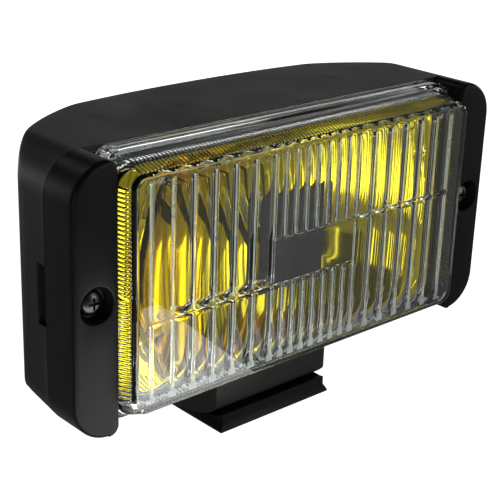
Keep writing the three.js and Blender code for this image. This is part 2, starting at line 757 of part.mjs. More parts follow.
// ---- Assembly ---------------------------------------------------------------
const FINISH = {
  black: { color: 0x1c1c1b, roughness: 0.55, metalness: 0 },
  glass: { color: 0xe9efe6, roughness: 0.05, metalness: 0, transparent: true, opacity: 0.35 },
  mirror: { color: 0xe8d21c, roughness: 0.15, metalness: 1 },
  shield: { color: 0x3c3c3d, roughness: 0.5, metalness: 0.3 },
  steel: { color: 0x9a9a98, roughness: 0.35, metalness: 1 },
  blackSteel: { color: 0x202020, roughness: 0.35, metalness: 0.8 },
  brass: { color: 0xb7933f, roughness: 0.35, metalness: 1 },
  rubber: { color: 0x151515, roughness: 0.8, metalness: 0 },
  lead: { color: 0x2a2a2a, roughness: 0.6, metalness: 0 },
  nylon: { color: 0xd8d4c8, roughness: 0.6, metalness: 0 },
  bulb: { color: 0xf4f4f0, roughness: 0.03, metalness: 0, transparent: true, opacity: 0.3 },
};

function mesh(name, manifold, finish) {
  const material = new THREE.MeshStandardMaterial(FINISH[finish]);
  const made = new THREE.Mesh(geometryOf(manifold), material);
  made.name = name;
  return made;
}

const lamp = new THREE.Group();
lamp.position.set(0, -TILT_Y, TILT_HEIGHT - TILT_Z);
lamp.add(
  mesh("rear_housing", rearHousing(), "black"),
  mesh("end_cap_left", endCap(-1), "black"),
  mesh("end_cap_right", endCap(1), "black"),
  mesh("cap_screw_left", capScrew(-1), "blackSteel"),
  mesh("cap_screw_right", capScrew(1), "blackSteel"),
  mesh("lens", lens(), "glass"),
  mesh("lens_gasket", lensGasket(), "rubber"),
  mesh("reflector", reflector(), "mirror"),
  mesh("bulb_shield", bulbShield(), "shield"),
  mesh("shield_rivet_left", shieldRivet(-1), "steel"),
  mesh("shield_rivet_right", shieldRivet(1), "steel"),
  mesh("bulb_envelope", bulbEnvelope(), "bulb"),
  mesh("bulb_filament", bulbFilament(), "steel"),
  mesh("bulb_base", bulbBase(), "steel"),
  mesh("bulb_clip", bulbBail(), "steel"),
  mesh("clip_bracket", clipBracket(), "steel"),
  mesh("clip_catch", clipCatch(), "steel"),
  mesh("bulb_lead", bulbLead(), "lead"),
  mesh("earth_lead", earthLead(), "lead"),
  mesh("earth_tab", earthTab(), "brass"),
  mesh("terminal_block", terminalBlock(), "nylon"),
  mesh("feed_blade", blade(FEED_X), "brass"),
  mesh("earth_blade", blade(EARTH_X), "brass"),
  mesh("cable_grommet", cableGrommet(), "rubber"),
  mesh("breather_plug", breatherPlug(), "rubber"),
);

const foot = new THREE.Group();
foot.add(
  mesh("saddle_foot", saddleFoot(), "black"),
  mesh("clamp_saddle", clampSaddle(), "steel"),
  mesh("clamp_nut", clampNut(), "steel"),
);

const group = new THREE.Group();
group.add(lamp, foot);
export default group;
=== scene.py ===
import math

import bmesh
import bpy
from mathutils import Matrix, Vector


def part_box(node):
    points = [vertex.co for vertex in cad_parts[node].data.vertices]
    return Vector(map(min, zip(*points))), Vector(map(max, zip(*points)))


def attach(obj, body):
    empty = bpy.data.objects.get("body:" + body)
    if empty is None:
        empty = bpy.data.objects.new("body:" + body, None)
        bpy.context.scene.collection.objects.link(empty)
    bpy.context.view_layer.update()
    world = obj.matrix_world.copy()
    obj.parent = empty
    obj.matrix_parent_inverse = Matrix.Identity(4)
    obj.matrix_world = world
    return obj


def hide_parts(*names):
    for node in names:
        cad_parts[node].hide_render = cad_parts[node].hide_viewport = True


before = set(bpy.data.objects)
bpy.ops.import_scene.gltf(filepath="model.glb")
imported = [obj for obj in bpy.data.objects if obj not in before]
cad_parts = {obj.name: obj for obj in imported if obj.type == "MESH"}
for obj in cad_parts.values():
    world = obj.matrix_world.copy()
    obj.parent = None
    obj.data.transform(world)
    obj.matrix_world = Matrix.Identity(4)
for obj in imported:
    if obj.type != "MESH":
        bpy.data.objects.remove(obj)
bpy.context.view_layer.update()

MM = 0.001

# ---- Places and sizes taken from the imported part, in millimetres --------------
CAP_LO, CAP_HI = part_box("end_cap_left")
LENS_LO, LENS_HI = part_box("lens")
FOOT_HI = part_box("saddle_foot")[1]
HOUSING_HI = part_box("rear_housing")[1]
SCREW_LO, SCREW_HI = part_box("cap_screw_right")
# The lamp's own frame: the middle of the end caps' front plane.
HALF_HEIGHT = 44.0
LAMP = Vector((0, CAP_LO.y, CAP_HI.z - HALF_HEIGHT * MM))
BOTTOM = (CAP_LO.z - LAMP.z) / MM
HALF_WIDTH = -CAP_LO.x / MM
CAP_DEPTH = (CAP_HI.y - CAP_LO.y) / MM
CAP_INNER = -CAP_HI.x / MM
BODY_START = CAP_DEPTH + 0.3
REAR = (HOUSING_HI.y - LAMP.y) / MM
SCREW_X = (SCREW_LO.x + SCREW_HI.x) / 2 / MM
LENS_HALF_WIDTH = LENS_HI.x / MM
LENS_HALF_HEIGHT = (LENS_HI.z - LAMP.z) / MM
LENS_FACE = (LENS_LO.y - LAMP.y) / MM


# ---- Mesh helpers -------------------------------------------------------------
def new_mesh(name, verts, faces, origin=LAMP):
    """An object from points in millimetres about the origin."""
    mesh = bpy.data.meshes.new(name)
    mesh.from_pydata([Vector(v) * MM + origin for v in verts], [], faces)
    obj = bpy.data.objects.new(name, mesh)
    bpy.context.scene.collection.objects.link(obj)
    return obj


def tidy(obj, sharp=35, merge=0.001):
    """Welds doubles, turns faces outwards, shades smooth and marks sharp edges by angle."""
    bm = bmesh.new()
    bm.from_mesh(obj.data)
    bmesh.ops.remove_doubles(bm, verts=bm.verts, dist=merge * MM)
    bmesh.ops.dissolve_degenerate(bm, dist=merge * MM, edges=bm.edges)
    bmesh.ops.recalc_face_normals(bm, faces=bm.faces)
    limit = math.radians(sharp)
    for face in bm.faces:
        face.smooth = True
    for edge in bm.edges:
        edge.smooth = len(edge.link_faces) == 2 and edge.calc_face_angle(0) < limit
    bm.to_mesh(obj.data)
    bm.free()
    return obj


def bevel(obj, width, segments=3, sharp=35):
    """Rounds every edge sharper than the angle."""
    bm = bmesh.new()
    bm.from_mesh(obj.data)
    bmesh.ops.remove_doubles(bm, verts=bm.verts, dist=0.001 * MM)
    bmesh.ops.recalc_face_normals(bm, faces=bm.faces)
    limit = math.radians(sharp)
    edges = [e for e in bm.edges if len(e.link_faces) == 2 and e.calc_face_angle(0) > limit]
    bmesh.ops.bevel(
        bm, geom=edges, offset=width * MM, offset_type="OFFSET", segments=segments,
        profile=0.5, affect="EDGES", clamp_overlap=True,
    )
    bm.to_mesh(obj.data)
    bm.free()
    return obj


def joined(name, objs):
    """One object that holds the meshes of several."""
    bm = bmesh.new()
    for o in objs:
        bm.from_mesh(o.data)
        bpy.data.objects.remove(o)
    mesh = bpy.data.meshes.new(name)
    bm.to_mesh(mesh)
    bm.free()
    obj = bpy.data.objects.new(name, mesh)
    bpy.context.scene.collection.objects.link(obj)
    return obj


def boolean(obj, cutter, operation="DIFFERENCE"):
    """Cuts obj with cutter, or joins them, and deletes the cutter."""
    modifier = obj.modifiers.new("cut", "BOOLEAN")
    modifier.operation = operation
    modifier.solver = "EXACT"
    modifier.object = cutter
    graph = bpy.context.evaluated_depsgraph_get()
    made = bpy.data.meshes.new_from_object(obj.evaluated_get(graph))
    obj.modifiers.clear()
    obj.data = made
    bpy.data.objects.remove(cutter)
    return obj


def skin(rings, front=True, back=True):
    """Points and faces of a closed skin over rings of equal length."""
    count = len(rings[0])
    verts = [v for ring in rings for v in ring]
    faces = []
    for r in range(len(rings) - 1):
        for i in range(count):
            j = (i + 1) % count
            faces.append((r * count + i, (r + 1) * count + i, (r + 1) * count + j, r * count + j))
    if front:
        faces.append(tuple(range(count)))
    if back:
        last = (len(rings) - 1) * count
        faces.append(tuple(range(last + count - 1, last - 1, -1)))
    return verts, faces


def sheet_faces(rows, columns, start=0):
    """Quads over a grid of points."""
    return [
        (start + r * columns + c, start + r * columns + c + 1,
         start + (r + 1) * columns + c + 1, start + (r + 1) * columns + c)
        for r in range(rows - 1)
        for c in range(columns - 1)
    ]


def fill_openings(obj):
    """Closes the flat area between an outline and the openings inside it."""
    bm = bmesh.new()
    bm.from_mesh(obj.data)
    bmesh.ops.remove_doubles(bm, verts=bm.verts, dist=0.0005 * MM)
    open_edges = [e for e in bm.edges if len(e.link_faces) == 1]
    bmesh.ops.triangle_fill(bm, use_beauty=True, use_dissolve=False, edges=open_edges)
    bm.to_mesh(obj.data)
    bm.free()


def lathe(name, profile, x, z, segments=48, axis="y", origin=LAMP):
    """A turned piece: the profile lists (radius, along)."""
    rings = []
    for radius, along in profile:
        ring = []
        for i in range(segments):
            a = 2 * math.pi * i / segments
            u, v = radius * math.cos(a), radius * math.sin(a)
            ring.append((x + u, along, z + v) if axis == "y" else (x + u, z + v, along))
        rings.append(ring)
    return new_mesh(name, *skin(rings), origin=origin)


def block(name, lo, hi, origin=LAMP):
    """A plain box, used as a cutter."""
    (x0, y0, z0), (x1, y1, z1) = lo, hi
    verts = [(x, y, z) for x in (x0, x1) for y in (y0, y1) for z in (z0, z1)]
    faces = [(0, 1, 3, 2), (4, 6, 7, 5), (0, 4, 5, 1), (2, 3, 7, 6), (0, 2, 6, 4), (1, 5, 7, 3)]
    return new_mesh(name, verts, faces, origin)


def arc(cx, cy, radius, start, end, steps):
    """Points on an arc, angles in degrees."""
    return [
        (cx + radius * math.cos(math.radians(start + (end - start) * i / steps)),
         cy + radius * math.sin(math.radians(start + (end - start) * i / steps)))
        for i in range(steps + 1)
    ]


def rounded(half_width, half_height, radius, corner=12, spacing=None):
    """A rounded rectangle in x and z, anticlockwise from the bottom middle, as (x, z, nx, nz)."""
    hw, hh, r = half_width, half_height, radius
    points = []

    def line(a, b, normal):
        length = math.hypot(b[0] - a[0], b[1] - a[1])
        n = max(1, round(length / spacing)) if spacing else 1
        for i in range(n):
            t = i / n
            points.append((a[0] + (b[0] - a[0]) * t, a[1] + (b[1] - a[1]) * t, *normal))

    def turn(cx, cz, start):
        n = max(corner, round(r * math.pi / 2 / spacing)) if spacing else corner
        for i in range(n):
            a = math.radians(start + 90 * i / n)
            points.append((cx + r * math.cos(a), cz + r * math.sin(a), math.cos(a), math.sin(a)))

    line((-hw + r, -hh), (hw - r, -hh), (0, -1))
    turn(hw - r, -hh + r, -90)
    line((hw, -hh + r), (hw, hh - r), (1, 0))
    turn(hw - r, hh - r, 0)
    line((hw - r, hh), (-hw + r, hh), (0, 1))
    turn(-hw + r, hh - r, 90)
    line((-hw, hh - r), (-hw, -hh + r), (-1, 0))
    turn(-hw + r, -hh + r, 180)
    return points


# ---- Material helpers ---------------------------------------------------------
class Nodes:
    """A material's node tree with short calls for the nodes used here."""

    def __init__(self, name):
        self.material = bpy.data.materials.new(name)
        self.material.use_nodes = True
        self.tree = self.material.node_tree
        self.tree.nodes.clear()
        self.output = self.add("ShaderNodeOutputMaterial")
        self.coords = self.add("ShaderNodeTexCoord").outputs["Object"]

    def add(self, kind, **settings):
        node = self.tree.nodes.new(kind)
        for key, value in settings.items():
            setattr(node, key, value)
        return node

    def link(self, source, target):
        self.tree.links.new(source, target)

    def noise(self, scale, detail=4, roughness=0.6, stretch=None):
        node = self.add("ShaderNodeTexNoise")
        node.inputs["Scale"].default_value = scale
        node.inputs["Detail"].default_value = detail
        node.inputs["Roughness"].default_value = roughness
        vector = self.coords
        if stretch:
            mapping = self.add("ShaderNodeMapping")
            mapping.inputs["Scale"].default_value = stretch
            self.link(self.coords, mapping.inputs["Vector"])
            vector = mapping.outputs["Vector"]
        self.link(vector, node.inputs["Vector"])
        return node.outputs["Fac"]

    def ramp(self, source, stops):
        node = self.add("ShaderNodeValToRGB")
        ramp = node.color_ramp
        while len(ramp.elements) < len(stops):
            ramp.elements.new(0.5)
        for element, (at, color) in zip(ramp.elements, stops):
            element.position = at
            element.color = (*color, 1) if isinstance(color, tuple) else (color, color, color, 1)
        self.link(source, node.inputs["Fac"])
        return node.outputs["Color"]

    def scaled(self, source, low, high, start=0.3, end=0.7):
        node = self.add("ShaderNodeMapRange")
        node.inputs["From Min"].default_value = start
        node.inputs["From Max"].default_value = end
        node.inputs["To Min"].default_value = low
        node.inputs["To Max"].default_value = high
        self.link(source, node.inputs["Value"])
        return node.outputs["Result"]

    def mix(self, factor, a, b, blend="MIX"):
        node = self.add("ShaderNodeMix", data_type="RGBA", blend_type=blend)
        sockets = {s.identifier: s for s in node.inputs}
        for key, value in (("Factor_Float", factor), ("A_Color", a), ("B_Color", b)):
            if isinstance(value, (int, float)):
                sockets[key].default_value = value
            elif isinstance(value, tuple):
                sockets[key].default_value = (*value, 1)
            else:
                self.link(value, sockets[key])
        return {s.identifier: s for s in node.outputs}["Result_Color"]

    def math(self, operation, a, b):
        node = self.add("ShaderNodeMath", operation=operation)
        for i, value in enumerate((a, b)):
            if isinstance(value, (int, float)):
                node.inputs[i].default_value = value
            else:
                self.link(value, node.inputs[i])
        return node.outputs["Value"]

    def bump(self, height, strength, distance, below=None):
        node = self.add("ShaderNodeBump")
        node.inputs["Strength"].default_value = strength
        node.inputs["Distance"].default_value = distance
        self.link(height, node.inputs["Height"])
        if below is not None:
            self.link(below, node.inputs["Normal"])
        return node.outputs["Normal"]

    def edges(self, low=0.5, high=0.56):
        geometry = self.add("ShaderNodeNewGeometry")
        return self.scaled(geometry.outputs["Pointiness"], 0, 1, low, high)

    def shader(self, color=None, roughness=None, normal=None, **values):
        node = self.add("ShaderNodeBsdfPrincipled")
        for name, value in values.items():
            node.inputs[name.replace("_", " ")].default_value = value
        for name, value in (("Base Color", color), ("Roughness", roughness), ("Normal", normal)):
            if value is None:
                continue
            if isinstance(value, tuple):
                node.inputs[name].default_value = (*value, 1)
            elif isinstance(value, (int, float)):
                node.inputs[name].default_value = value
            else:
                self.link(value, node.inputs[name])
        return node.outputs["BSDF"]

    def done(self, surface):
        self.link(surface, self.output.inputs["Surface"])
        return self.material


def moulded(name, dark, light, rough, grain, grain_depth, specular):
    """Moulded black plastic: fine spark grain, faint handling marks, paler worn edges."""
    n = Nodes(name)
    patches = n.noise(38, 5)
    specks = n.noise(900, 2)
    color = n.ramp(patches, [(0.3, dark), (0.7, light)])
    color = n.mix(n.scaled(specks, 0, 0.5, 0.62, 0.75), color, tuple(v * 2.2 for v in light))
    worn = n.math("MULTIPLY", n.edges(0.51, 0.6), 0.4)
    color = n.mix(worn, color, tuple(v * 3 + 0.01 for v in light))
    scuffs = n.noise(140, 3, stretch=(1, 0.25, 3))
    roughness = n.math("ADD", n.scaled(patches, rough - 0.05, rough + 0.05),
                       n.scaled(scuffs, 0, 0.08, 0.6, 0.75))
    fine = n.noise(grain, 3, 0.7)
    normal = n.bump(fine, 0.5, grain_depth, n.bump(n.noise(70, 2), 0.2, 0.0002))
    return n.done(n.shader(color, roughness, normal, Specular_IOR_Level=specular))


def metal(name, base, tint, rough, scale=300, depth=0.00003, metallic=1.0):
    """Plated or painted metal with cloudy tone, fine scratches and grain."""
    n = Nodes(name)
    clouds = n.noise(90, 4)
    scratches = n.noise(scale, 3, stretch=(1, 6, 1))
    color = n.ramp(clouds, [(0.3, base), (0.7, tint)])
    worn = n.math("MULTIPLY", n.edges(0.52, 0.62), 0.3)
    color = n.mix(worn, color, tuple(min(1, v * 1.5 + 0.02) for v in tint))
    roughness = n.math("ADD", n.scaled(clouds, rough - 0.06, rough + 0.06), n.scaled(scratches, 0, 0.1))
    return n.done(n.shader(color, roughness, n.bump(scratches, 0.4, depth), Metallic=metallic))


def rubbery(name, base, rough=0.75):
    """Rubber or nylon: cloudy tone and a fine matt grain."""
    n = Nodes(name)
    clouds = n.noise(120, 4)
    color = n.ramp(clouds, [(0.3, base), (0.7, tuple(v * 1.8 for v in base))])
    return n.done(n.shader(color, n.scaled(clouds, rough - 0.08, rough + 0.08),
                           n.bump(n.noise(1200, 3), 0.4, 0.00005), Specular_IOR_Level=0.3))


def clear_glass(name, color, wave, wave_scale, rough=(0.0, 0.035), transmission=1.0,
                tint=(0.93, 0.95, 0.93)):
    """Pressed glass: faint surface waves and a few smudges. Light passes to what is behind, tinted."""
    n = Nodes(name)
    waves = n.noise(wave_scale, 2)
    smudges = n.noise(45, 5)
    surface = n.shader(color, n.scaled(smudges, *rough, 0.5, 0.8), n.bump(waves, 0.3, wave),
                       Transmission_Weight=transmission, IOR=1.5)
    path = n.add("ShaderNodeLightPath")
    clear = n.add("ShaderNodeBsdfTransparent")
    clear.inputs["Color"].default_value = (*tint, 1)
    mixed = n.add("ShaderNodeMixShader")
    n.link(path.outputs["Is Shadow Ray"], mixed.inputs["Fac"])
    n.link(surface, mixed.inputs[1])
    n.link(clear.outputs["BSDF"], mixed.inputs[2])
    return n.done(mixed.outputs["Shader"])


def lacquered_mirror(name):
    """Reflector: bright metal under yellow lacquer, with slight waves and dust."""
    n = Nodes(name)
    clouds = n.noise(25, 3)
    color = n.ramp(clouds, [(0.3, (0.90, 0.69, 0.03)), (0.7, (0.94, 0.77, 0.055))])
    dust = n.noise(1400, 2)
    roughness = n.math("ADD", n.scaled(clouds, 0.05, 0.08), n.scaled(dust, 0, 0.06, 0.6, 0.8))
    return n.done(n.shader(color, roughness, n.bump(n.noise(40, 2), 0.25, 0.0004), Metallic=1.0))


# ---- Placing ------------------------------------------------------------------
def place(obj, body, material, replaces=()):
    """Gives a piece its material and its body, and hides the CAD nodes that it stands for."""
    obj.data.materials.clear()
    obj.data.materials.append(material)
    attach(obj, body)
    if replaces:
        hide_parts(*replaces)
    return obj


# ---- Rear housing -------------------------------------------------------------
WALL = 2.5
CORNER = 13.0        # radius of the four long edges
SIDE_END = 28.5      # rear end of the flat sides
BOTTOM_RISE = 0.2    # the underside rises towards the back
NOTCH_DEPTH = 1.7    # of the slot in each side, behind the parting line


def bezier(a, b, c, t):
    return tuple((1 - t) ** 2 * p + 2 * t * (1 - t) * q + t * t * r for p, q, r in zip(a, b, c))


def plan_half(inset):
    """Half of the housing's plan outline, from the side's rear edge to the back's middle."""
    side = HALF_WIDTH - inset
    corner = (side, SIDE_END - inset * 0.4)
    bend = (80 - inset * 0.8, 48 - inset * 0.8)
    shoulder = (54 - inset * 0.6, 58.3 - inset)
    points = [bezier(corner, bend, shoulder, i / 28) for i in range(29)]
    points += [bezier(shoulder, (30, REAR - inset), (0, REAR - inset), i / 20) for i in range(1, 21)]
    return points


def depth_at(outline, x):
    """Where the plan outline lies at this distance from the middle."""
    for (x0, y0), (x1, y1) in zip(outline, outline[1:]):
        if x1 <= x <= x0:
            t = (x0 - x) / (x0 - x1) if x0 > x1 else 0
            return y0 + (y1 - y0) * t
    return outline[0][1]


def housing_skin(inset, edge):
    """One skin of the housing: profiles in y and z, side by side across x."""
    outline = plan_half(inset)
    side = HALF_WIDTH - inset
    radius = CORNER - inset
    flat = side - radius
    flat_steps, corner_steps = 26, 16
    half_x = [flat * i / flat_steps for i in range(flat_steps)]
    half_x += [flat + radius * math.sin(math.pi / 2 * i / corner_steps)
               for i in range(corner_steps + 1)]
    xs = [-x for x in reversed(half_x[1:])] + half_x
    upright = 1.4 * 0.45  # width of the softened upright edge behind each side
    front, r = BODY_START, edge
    rings = []
    for x in xs:
        a = abs(x)
        y_back = depth_at(outline, a)
        over = a - (side - upright)
        if over > 0:
            y_back -= 0.9 * (over / upright) ** 2
        drop = radius - math.sqrt(max(0, radius ** 2 - max(0, a - flat) ** 2))
        top = HALF_HEIGHT - inset - drop

        def low(y):
            return BOTTOM + inset + drop + BOTTOM_RISE * max(0, y - BODY_START)

        bottom = low(y_back)
        run = y_back - r - front
        span_top, span_bottom = top - r, bottom + r
        ring = [(x, front + run * i / 6, top) for i in range(7)]
        ring += [(x, y, z) for y, z in arc(y_back - r, top - r, r, 90, 0, 5)[1:]]
        ring += [(x, y_back, span_top + (span_bottom - span_top) * i / 10) for i in range(1, 11)]
        ring += [(x, y, z) for y, z in arc(y_back - r, bottom + r, r, 0, -90, 5)[1:]]
        ring += [(x, y, low(y)) for y in (front + run * (6 - i) / 6 for i in range(1, 7))]
        rings.append(ring)
    return rings


def rear_housing():
    outer = housing_skin(0, 1.1)
    inner = housing_skin(WALL, 0.5)
    columns = len(outer[0])
    verts = [v for ring in outer for v in ring]
    faces = sheet_faces(len(outer), columns)
    start = len(verts)
    verts += [v for ring in inner for v in ring]
    faces += [tuple(reversed(f)) for f in sheet_faces(len(inner), columns, start)]
    n = len(outer)
    for r in range(n - 1):  # front lip, along the top and the bottom
        for c in (0, columns - 1):
            a, b = r * columns + c, (r + 1) * columns + c
            quad = (a, b, start + b, start + a)
            faces.append(quad if c == 0 else tuple(reversed(quad)))
    for r, flip in ((0, False), (n - 1, True)):  # flat sides, outside and inside
        loop = [r * columns + c for c in range(columns)]
        faces.append(tuple(loop) if flip else tuple(reversed(loop)))
        loop = [start + r * columns + c for c in range(columns)]
        faces.append(tuple(reversed(loop)) if flip else tuple(loop))
    for r, flip in ((0, False), (n - 1, True)):  # front lip at the sides
        a, b = r * columns, (r + 1) * columns - 1
        quad = (a, b, start + b, start + a)
        faces.append(tuple(reversed(quad)) if flip else quad)
    return new_mesh("housing_shell", verts, faces)


def boss():
    """Round-bottomed boss under the housing."""
    radius, half_depth, half_width = 22.0, 16.0, 26.4
    ty, tz = 29.0, -44.0
    reach = math.degrees(math.asin(half_depth / radius))
    profile = arc(ty, tz, radius, -90 - reach, -90 + reach, 36)
    profile += [(ty + half_depth, tz + 7.0), (BODY_START, BOTTOM + 2.0), (BODY_START, BOTTOM - 0.4),
                (ty - half_depth, BOTTOM - 0.4)]
    rings = [[(x, y, z) for y, z in profile] for x in (-half_width, half_width)]
    made = new_mesh("boss", *skin(rings))
    return bevel(made, 0.7, 3, 40)


# ---- End caps -----------------------------------------------------------------
CAP_CORNER = 3.5     # radius of the inner corners
FILLET, CORNER_FILLET, EDGE_FILLET = 1.6, 0.9, 0.6  # front edge: outside, inner corners, inner side
LIP = 2.5            # thickness over the glass rim
POCKET = 80.3        # the pocket for the glass ends here, from the middle


def end_cap(name, side):
    """Cap with a rounded front edge, a dished screw recess and a lip over the glass."""
    hw, hh, r, inner, c = HALF_WIDTH, HALF_HEIGHT, CORNER, CAP_INNER, CAP_CORNER
    outline = []  # (x, z, normal x, normal z, fillet), anticlockwise from the inner side's lower end

    def turn(cx, cz, radius, start, steps, fillet):
        for x, z in arc(cx, cz, radius, start, start + 90, steps):
            outline.append((x, z, (x - cx) / radius, (z - cz) / radius, fillet))

    turn(inner + c, BOTTOM + c, c, 180, 10, CORNER_FILLET)
    turn(hw - r, BOTTOM + r, r, -90, 20, FILLET)
    outline += [(hw, BOTTOM + r + (hh - r - BOTTOM - r) * i / 24, 1, 0, FILLET) for i in range(1, 24)]
    turn(hw - r, hh - r, r, 0, 20, FILLET)
    turn(inner + c, hh - c, c, 90, 10, CORNER_FILLET)
    edge_at = len(outline)
    outline += [(inner, hh - c + (BOTTOM + 2 * c - hh) * i / 24, -1, 0, EDGE_FILLET) for i in range(25)]
    run = hw - r - inner - c + 0.01
    for k, (x, z, nx, nz, fillet) in enumerate(outline):  # blend the fillet round the inner corners
        if nx < 0:
            fillet = EDGE_FILLET + (fillet - EDGE_FILLET) * (1 + nx)
        elif x < hw - r + 0.01:
            share = min(1, max(0, (x - inner - c) / run))
            fillet = CORNER_FILLET + (FILLET - CORNER_FILLET) * share
        outline[k] = (x, z, nx, nz, fillet)

    def front_ring(share):
        """One ring of the rounded front edge, from the face to the sides."""
        points = []
        for x, z, nx, nz, fillet in outline:
            inset = fillet * (1 - math.sin(math.pi / 2 * share))
            y = fillet * (1 - math.cos(math.pi / 2 * share))
            points.append((side * (x - nx * inset), y, z - nz * inset))
        return points

    def side_ring(y, pocket=False):
        return [(side * (POCKET if pocket and k >= edge_at else x), y, z)
                for k, (x, z, *_) in enumerate(outline)]

    rings = [front_ring(s / 6) for s in range(7)] + [side_ring(LIP)]
    rings += [side_ring(y, True) for y in (LIP + 0.02, CAP_DEPTH - 0.25, CAP_DEPTH)]
    verts, faces = skin(rings, front=False)
    dish = [(6.5, 0.0), (6.3, 0.03), (6.1, 0.15), (5.95, 0.4), (5.75, 1.2), (5.1, 3.4),
            (4.85, 3.95), (4.4, 4.2), (2.3, 4.2), (2.3, 9.0)]
    segments = 48
    start = len(verts)
    for radius, y in dish:
        for i in range(segments):
            a = 2 * math.pi * i / segments
            verts.append((side * SCREW_X + radius * math.cos(a), y, radius * math.sin(a)))
    for k in range(len(dish) - 1):
        for i in range(segments):
            j = (i + 1) % segments
            a = start + k * segments
            faces.append((a + i, a + j, a + segments + j, a + segments + i))
    faces.append(tuple(start + (len(dish) - 1) * segments + i for i in range(segments)))
    obj = new_mesh(name, verts, faces)
    fill_openings(obj)
    return tidy(obj, 30)


def cap_screw(name, side):
    """Pan head with a cross recess."""
    head = [(0.01, 1.65), (0.8, 1.67), (1.6, 1.77), (2.4, 1.98), (3.1, 2.3), (3.65, 2.72),
            (3.98, 3.15), (4.1, 3.55), (4.1, 3.75), (4.0, 3.9), (2.0, 3.9), (2.0, 24.0),
            (1.2, 25.4), (0.6, 26.0), (0.01, 26.0)]
    obj = lathe(name, head, side * SCREW_X, 0, 48)
    tidy(obj, 60)
    x = side * SCREW_X
    for wide, tall in ((2.1, 0.42), (0.42, 2.1)):
        verts = []
        for y, shrink in ((1.0, 1.15), (3.1, 0.72)):
            w, t = wide * (shrink if wide > 1 else 1), tall * (shrink if tall > 1 else 1)
            verts += [(x - w, y, -t), (x + w, y, -t), (x + w, y, t), (x - w, y, t)]
        faces = [(0, 1, 2, 3), (7, 6, 5, 4), (0, 4, 5, 1), (1, 5, 6, 2), (2, 6, 7, 3), (3, 7, 4, 0)]
        cutter = tidy(new_mesh("cutter", verts, faces), 30)
        boolean(obj, cutter)
    tidy(obj, 35)
    return obj


# ---- Lens -----------------------------------------------------------------------
LAND = -1.7          # inner plane of the face
LEFT_EDGE, RIGHT_EDGE = -17.9, 20.6  # the fine flutes of the middle lie between these
OUTER_BAR = 67.6     # the outermost bars, from the middle
UPPER_SEAM, LOWER_SEAM = 5.9, -9.6
FLUTE_TOP, FLUTE_BOTTOM = 36.7, -36.7
SIDE_MARGIN = 70.8   # the patterned area ends here
BARS = (
    [-OUTER_BAR + (OUTER_BAR + LEFT_EDGE) * i / 6 for i in range(6)]
    + [LEFT_EDGE + (RIGHT_EDGE - LEFT_EDGE) * i / 8 for i in range(8)]
    + [RIGHT_EDGE + (OUTER_BAR - RIGHT_EDGE) * i / 6 for i in range(7)]
)
RIDGE = 0.72         # half the width of a bar
RIDGE_HEIGHT = 0.6
WIDE_FLUTE, NARROW_FLUTE, OUTER_FLUTE = 1.15, 0.75, 0.35  # depths
CREST = RIDGE * 0.62  # half the width of a bar's frosted crest
FLARE_START = -28.5  # the frosted crests widen below this height
SEAM_STEP, SEAM_SPREAD = 0.2, 0.24
RIB_PITCH, RIB_DEPTH = 1.45, 0.42
RIB_START, RIB_END = 9.0, -1.4
FACE_INSET = 5.3     # the skirt's outline, at the face's edge
FACE_CORNER = 4.7


def smooth(t):
    """Eases from 0 to 1."""
    t = min(1.0, max(0.0, t))
    return t * t * (3 - 2 * t)


def zone(x):
    """0 left of the fine flutes, 1 among them, 2 right of them."""
    return 0 if x < LEFT_EDGE else (1 if x < RIGHT_EDGE else 2)


def row_spans(which):
    """A zone's rows of flutes, as (bottom, top, run-out at the bottom, run-out at the top)."""
    if which == 0:
        return [(LOWER_SEAM, FLUTE_TOP, 4.0, 3.2), (FLUTE_BOTTOM, LOWER_SEAM, 12.5, 1.4)]
    if which == 1:
        return [(UPPER_SEAM, FLUTE_TOP, 1.0, 3.0), (FLUTE_BOTTOM, LOWER_SEAM, 11.0, 1.2)]
    return [(UPPER_SEAM, FLUTE_TOP, 1.4, 3.2), (FLUTE_BOTTOM, UPPER_SEAM, 12.5, 1.4)]


def face_height(x, z):
    """How far the inner side of the face stands back from its plane: flutes forward, bars back."""
    if abs(x) >= OUTER_BAR + RIDGE:
        return 0.0
    index = 0
    while index + 2 < len(BARS) and x > BARS[index + 1]:
        index += 1
    a, b = BARS[index], BARS[index + 1]
    which = zone((a + b) / 2)
    height = 0.0
    if a <= x <= b:
        pitch = b - a
        deep = WIDE_FLUTE if pitch > 6 else NARROW_FLUTE
        if index in (0, len(BARS) - 2):
            deep = OUTER_FLUTE
        u = 2 * (x - a) / pitch - 1
        for bottom, top, run_bottom, run_top in row_spans(which):
            if bottom < z < top:
                run_out = 1 - smooth((z - bottom) / run_bottom)
                run_out += 1 - smooth((top - z) / run_top) ** 0.5
                height = -max(0.0, deep * (1 - u * u) - deep * run_out)
    distance, bar = min((abs(x - bar), bar) for bar in BARS)
    if distance < RIDGE:
        fade = 0.0
        for which in {zone(bar - 1), zone(bar + 1)}:
            for bottom, top, run_bottom, run_top in row_spans(which):
                if bottom < z < top:
                    up = smooth((z - bottom) / (run_bottom * 0.55 + 0.3))
                    fade = max(fade, up * smooth((top - z) / (run_top * 0.8)))
        height += fade * RIDGE_HEIGHT * math.sqrt(1 - (distance / RIDGE) ** 2)
    return height


def is_frosted(x, z):
    """The crests of the bars are frosted, and widen towards their lower ends."""
    near = min(abs(x - bar) for bar in BARS)
    spans = row_spans(zone(x))
    inside = any(bottom + 1 < z < top - 1.5 for bottom, top, *_ in spans)
    if near < CREST and inside:
        return True
    flare = CREST + 1.1 * max(0.0, (FLARE_START - z) / (FLARE_START - FLUTE_BOTTOM)) ** 1.6
    return z < FLARE_START and near < flare


